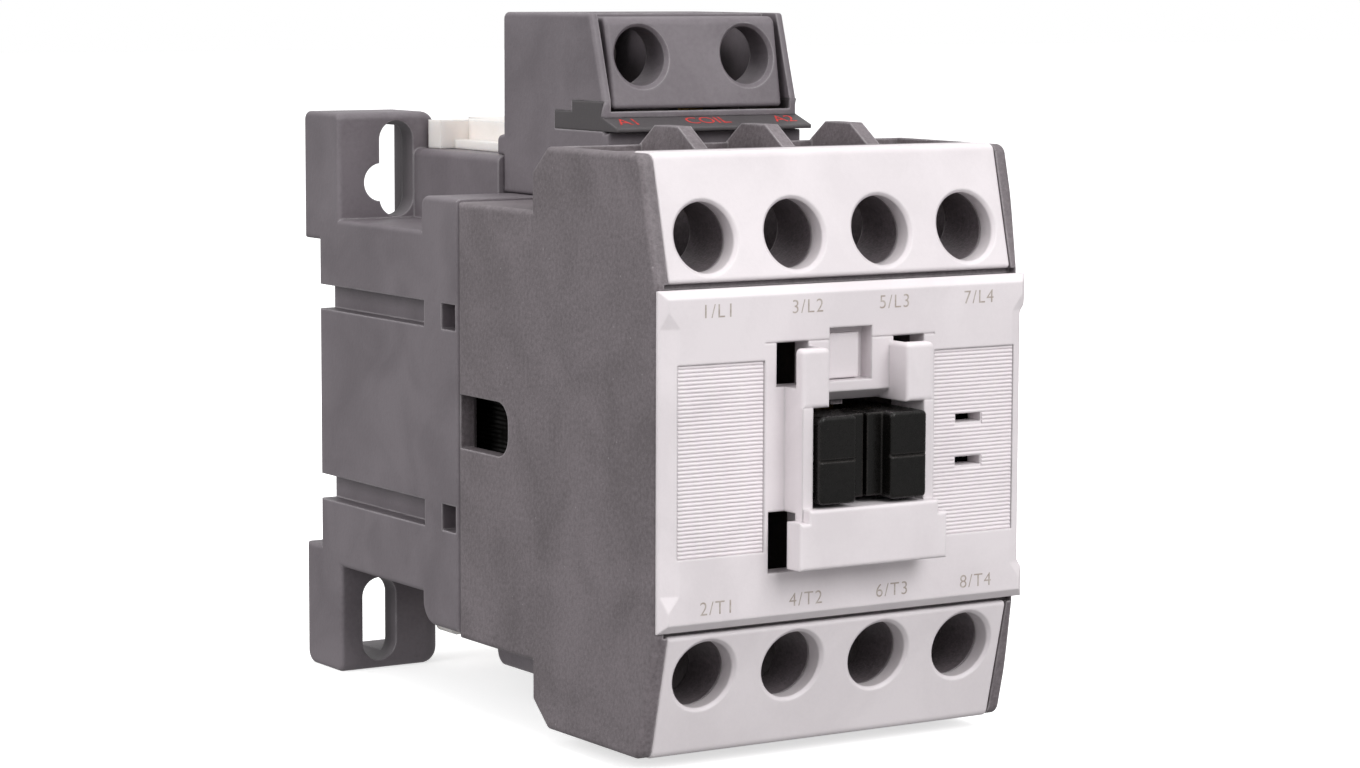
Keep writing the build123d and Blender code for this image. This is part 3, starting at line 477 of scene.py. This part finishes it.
# The ribs' lighter tone is painted light, not a different plastic.
ribs = rib_tree(rib_plastic_painted_lighter)
stretches = {
    "ribs_left": (-PANEL_FAR, -PANEL_NEAR, NO_GAP, NO_GAP),
    "ribs_right_inner": (PANEL_NEAR, SLOT_LEFT, NO_GAP, NO_GAP),
    "ribs_right_slots": (SLOT_LEFT, SLOT_RIGHT, SLOT_UPPER, SLOT_LOWER),
    "ribs_right_outer": (SLOT_RIGHT, PANEL_FAR, NO_GAP, NO_GAP),
}
for name, (x0, x1, upper, lower) in stretches.items():
    first = (x0, panel_floor + RIB_SINK, -RIB_PITCH * (RIB_ROWS - 1) / 2)
    ridge = grown(name, ribs, {"Rib Count": RIB_ROWS, "First Rib": first, "Pitch": RIB_PITCH,
                               "Rib Length": x1 - x0, "Rib Radius": RIB_RADIUS, "Upper Gap": upper,
                               "Lower Gap": lower, "Gap Half Height": SLOT_CLEAR})
    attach(ridge, "housing")
    print(name, "faces", len(ridge.data.polygons))

# %% [markdown]
# ## Printed terminal numbers
#
# Every contactor carries the same standard marks: odd numbers on the line side and even ones
# on the load side, so a fitter can wire it anywhere. They are pad-printed in thin warm-grey
# ink, about a hundredth of a millimetre thick.
#
# Text objects are the easy way to real letter outlines. Each is turned into a mesh, and its
# place goes into the mesh, so the finished piece sits at the origin like a packed one.


# %% Ink and lettering helpers
INK_PATCH = 0.5 * MM
INK_HALF_THICKNESS = 0.006 * MM


def ink(name, hex_colour, worn_hex, roughness=0.5):
    """Printing ink with patches where the pad laid it thinner."""
    material = bpy.data.materials.new(name)
    material.use_nodes = True
    tree = material.node_tree
    shader = tree.nodes["Principled BSDF"]
    place = add(tree, "ShaderNodeTexCoord").outputs["Object"]
    patches = add(tree, "ShaderNodeTexNoise", {"Vector": place, "Scale": 1 / INK_PATCH,
                                               "Detail": 3.0})
    tone = add(tree, "ShaderNodeValToRGB", {"Fac": patches.outputs["Fac"]})
    tone.color_ramp.elements[0].position = 0.35
    tone.color_ramp.elements[0].color = linear(worn_hex)
    tone.color_ramp.elements[1].position = 0.60
    tone.color_ramp.elements[1].color = linear(hex_colour)
    tree.links.new(tone.outputs["Color"], shader.inputs["Base Color"])
    shader.inputs["Roughness"].default_value = roughness
    return material


def lettering(name, words, size, place, material, thin=0.0, spacing=1.0):
    """Flat letters as a mesh; place is the matrix that puts them on their surface."""
    curve = bpy.data.curves.new(name, "FONT")
    curve.body = words
    curve.size = size
    curve.align_x = "CENTER"
    curve.align_y = "CENTER"
    curve.extrude = INK_HALF_THICKNESS
    curve.offset = -thin
    curve.space_character = spacing
    typed = bpy.data.objects.new(name, curve)
    bpy.context.scene.collection.objects.link(typed)
    bpy.context.view_layer.update()
    drawn = typed.evaluated_get(bpy.context.evaluated_depsgraph_get())
    mesh = bpy.data.meshes.new_from_object(drawn)
    bpy.data.objects.remove(typed)
    mesh.transform(place)
    mesh.materials.clear()
    mesh.materials.append(material)
    printed = bpy.data.objects.new(name, mesh)
    bpy.context.scene.collection.objects.link(printed)
    return printed


grey_ink = ink("pad_print_warm_grey", "#A3978F", "#B8AEA8")
red_ink = ink("pad_print_red", "#C9332D", "#9C2D29")
print("inks", grey_ink.name, red_ink.name)

# %% [markdown]
# The numbers stand near the pole centres, just inside the top and bottom chamfers. Turning
# the letters a quarter turn about X stands them up so that they face the front.

# %% Print the terminal numbers
FACE_FRONT = Matrix.Rotation(math.pi / 2, 4, "X")
INK_LIFT = 0.012 * MM
NUMBER_SIZE = 1.95 * MM
NUMBER_ROW = 14.75 * MM
NUMBER_THINNING = 0.012 * MM
NUMBER_SPACING = 1.15
POLE_PITCH = 10.645 * MM
pole_x = [POLE_PITCH * k for k in (-1.5, -0.5, 0.5, 1.5)]
rows = (("line", ("1/L1", "3/L2", "5/L3", "7/L4"), NUMBER_ROW),
        ("load", ("2/T1", "4/T2", "6/T3", "8/T4"), -NUMBER_ROW))
for side, words, z in rows:
    for number, (mark, x) in enumerate(zip(words, pole_x), 1):
        spot = Matrix.Translation((x, plate_face - INK_LIFT, z)) @ FACE_FRONT
        printed = lettering(f"{side}_number_{number}", mark, NUMBER_SIZE, spot, grey_ink,
                            thin=NUMBER_THINNING, spacing=NUMBER_SPACING)
        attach(printed, "housing")
print("printed", sum(len(words) for _, words, _ in rows), "numbers")

# %% [markdown]
# The coil's two terminals are marked on the sloping ledge of the label strip, in red, so
# that control wires are not mistaken for power wires.

# %% Print the coil marks
strip_low, strip_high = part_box("coil_label_strip")
LEDGE_FRONT = Vector((0, -51.9 * MM, 31.65 * MM))
LEDGE_BACK = Vector((0, -48.6 * MM, 32.8 * MM))
COIL_MARK_SIZE = 2.4 * MM
COIL_MARK_SIDE = 9.8 * MM
across = Vector((1, 0, 0))
slope = (LEDGE_BACK - LEDGE_FRONT).normalized()
off_ledge = across.cross(slope)
ledge_turn = Matrix((across, slope, off_ledge)).transposed().to_4x4()
ledge_middle = (LEDGE_FRONT + LEDGE_BACK) / 2 + off_ledge * INK_LIFT
marks = (("coil_mark_a1", "A1", -COIL_MARK_SIDE), ("coil_mark_a2", "A2", COIL_MARK_SIDE),
         ("coil_mark_word", "COIL", 0.0))
for name, mark, x in marks:
    spot = Matrix.Translation(ledge_middle + across * x) @ ledge_turn
    printed = lettering(name, mark, COIL_MARK_SIZE, spot, red_ink)
    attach(printed, "housing")
print("strip spans", [round(v / MM, 1) for v in (strip_low.x, strip_high.x)])

# %% [markdown]
# ## Studio
#
# Catalogue pictures of switchgear are taken in a white light tent: soft light from all
# round, a brighter one on the front, and a floor as pale as the walls. Three large area
# lights keep the shadows soft, and the white world fills them. The floor is only seen: it
# would otherwise light the object from below more than a tent does.


# %% Floor and light
SKY_LIGHT = 0.76
GROUND_LIGHT = 0.36
TENT_SEEN = 1.0
FLOOR_GLOW = 0.62
FLOOR_HALF_WIDTH = 3.0


def floor(half_size, height):
    """A large pale floor that the camera sees, but that throws no light up at the object."""
    mesh = bpy.data.meshes.new("studio_floor")
    corners = [(x * half_size, y * half_size, height) for x, y in ((-1, -1), (1, -1), (1, 1), (-1, 1))]
    mesh.from_pydata(corners, [], [(0, 1, 2, 3)])
    sheet = bpy.data.objects.new("studio_floor", mesh)
    sheet.visible_diffuse = False
    sheet.visible_glossy = False
    bpy.context.scene.collection.objects.link(sheet)
    paper = bpy.data.materials.new("matt_white_paper")
    paper.use_nodes = True
    shader = paper.node_tree.nodes["Principled BSDF"]
    shader.inputs["Base Color"].default_value = linear("#E8E8E8")
    shader.inputs["Roughness"].default_value = 0.9
    shader.inputs["Emission Color"].default_value = linear("#FFFFFF")
    shader.inputs["Emission Strength"].default_value = FLOOR_GLOW
    mesh.materials.append(paper)
    return sheet


def softbox(name, place, aim, width, height, watts):
    """An area light at place that points at aim."""
    lamp = bpy.data.lights.new(name, "AREA")
    lamp.shape = "RECTANGLE"
    lamp.size = width
    lamp.size_y = height
    lamp.energy = watts
    box = bpy.data.objects.new(name, lamp)
    box.location = place
    box.rotation_mode = "QUATERNION"
    box.rotation_quaternion = (Vector(aim) - Vector(place)).to_track_quat("-Z", "Y")
    bpy.context.scene.collection.objects.link(box)
    return box


def white_tent():
    """A world that is white to the camera, and lights more from above than from below."""
    world = bpy.data.worlds.new("white_tent")
    world.use_nodes = True
    tent = world.node_tree
    heading = add(tent, "ShaderNodeTexCoord").outputs["Generated"]
    rise = add(tent, "ShaderNodeSeparateXYZ", {"Vector": heading}).outputs["Z"]
    lit = add(tent, "ShaderNodeMapRange", {"Value": rise, "From Min": -0.25, "From Max": 0.35,
                                           "To Min": GROUND_LIGHT, "To Max": SKY_LIGHT})
    seen = add(tent, "ShaderNodeLightPath").outputs["Is Camera Ray"]
    strength = add(tent, "ShaderNodeMix", {0: seen, 2: lit.outputs["Result"], 3: TENT_SEEN},
                   data_type="FLOAT")
    backdrop = tent.nodes["Background"]
    backdrop.inputs["Color"].default_value = linear("#FFFFFF")
    tent.links.new(strength.outputs[0], backdrop.inputs["Strength"])
    return world


middle = (CAD_LOW + CAD_HIGH) / 2
floor(FLOOR_HALF_WIDTH, CAD_LOW.z)
softbox("front_light", (0.10, -0.75, 0.45), middle, width=0.5, height=0.5, watts=4.4)
softbox("left_light", (-0.75, -0.10, 0.35), middle, width=0.4, height=0.5, watts=2.6)
softbox("top_light", (0.0, 0.10, 0.80), middle, width=0.6, height=0.6, watts=2.4)
bpy.context.scene.world = white_tent()
bpy.context.scene.view_settings.view_transform = "Standard"

# %% [markdown]
# ## Camera
#
# The camera looks from the left, a little above. It is placed by its own yaw, pitch and roll,
# because a long lens close to a small object makes small errors of angle easy to see.

# %% Place the camera
CAMERA_PLACE = Vector((-210.71, -376.35, 47.59)) * MM
YAW = -0.5664078
PITCH = 0.1115516
ROLL = 0.0032276
FOCAL_MM = 96.74
SENSOR_MM = 36.0

ahead = Vector((-math.sin(YAW) * math.cos(PITCH), math.cos(YAW) * math.cos(PITCH),
                -math.sin(PITCH)))
level = Vector((math.cos(YAW), math.sin(YAW), 0))
above = level.cross(ahead)
right = math.cos(ROLL) * level + math.sin(ROLL) * above
up = -math.sin(ROLL) * level + math.cos(ROLL) * above
lens = bpy.data.cameras.new("camera")
lens.lens = FOCAL_MM
lens.sensor_width = SENSOR_MM
lens.clip_start = 0.01
camera = bpy.data.objects.new("camera", lens)
turn = Matrix((right, up, -ahead)).transposed()
camera.matrix_world = Matrix.Translation(CAMERA_PLACE) @ turn.to_4x4()
bpy.context.scene.collection.objects.link(camera)
bpy.context.scene.camera = camera
print("camera at", [round(v, 4) for v in camera.location])

# %% Update the scene and finish
bpy.context.view_layer.update()
